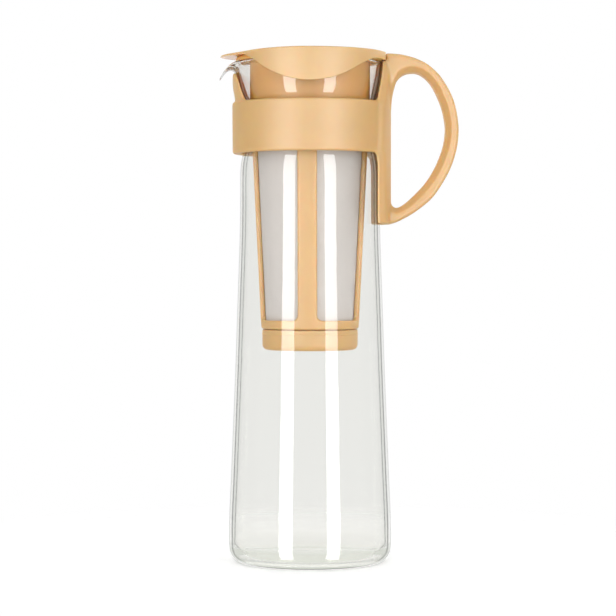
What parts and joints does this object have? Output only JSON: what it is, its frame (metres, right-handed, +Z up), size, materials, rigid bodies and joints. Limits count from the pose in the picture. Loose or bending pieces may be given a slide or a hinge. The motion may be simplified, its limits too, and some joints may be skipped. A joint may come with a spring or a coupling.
{
  "type": "cold brew coffee maker",
  "caption": "Slim glass cold brew pot with a clamped loop handle, a visored lid and a hanging mesh strainer with a turn-off cap.",
  "frame": {"origin": "on the carafe's axis, in the plane of its foot", "axes": "+Z up, -X towards the spout, +X towards the handle"},
  "size_m": [0.1374, 0.0934, 0.2923],
  "materials": {
    "carafe_glass": "clear heat-resistant glass",
    "band_plastic": "satin moulded polypropylene, light coffee brown",
    "screw_steel": "plain stainless steel",
    "frame_plastic": "satin moulded polypropylene, light coffee brown",
    "mesh_cloth": "fine woven polyester mesh",
    "cap_plastic": "satin moulded polypropylene, light coffee brown",
    "lid_plastic": "satin moulded polypropylene, light coffee brown"
  },
  "bodies": {
    "pot": {"glass_carafe": "carafe_glass", "handle_band": "band_plastic", "band_screw": "screw_steel"},
    "strainer": {"strainer_frame": "frame_plastic", "strainer_mesh": "mesh_cloth"},
    "cap": {"strainer_cap": "cap_plastic"},
    "lid": {"lid": "lid_plastic"}
  },
  "joints": [
    {"name": "strainer_lift", "type": "slide", "parent": "pot", "child": "strainer", "axis": [0, 0, 1], "range_m": [0, 0.18]},
    {"name": "lid_lift", "type": "slide", "parent": "strainer", "child": "lid", "axis": [0, 0, 1], "range_m": [0, 0.04]},
    {"name": "cap_turn", "type": "hinge", "parent": "strainer", "child": "cap", "pos_m": [0, 0, 0.1285], "axis": [0, 0, -1], "range_deg": [0, 45]}
  ]
}
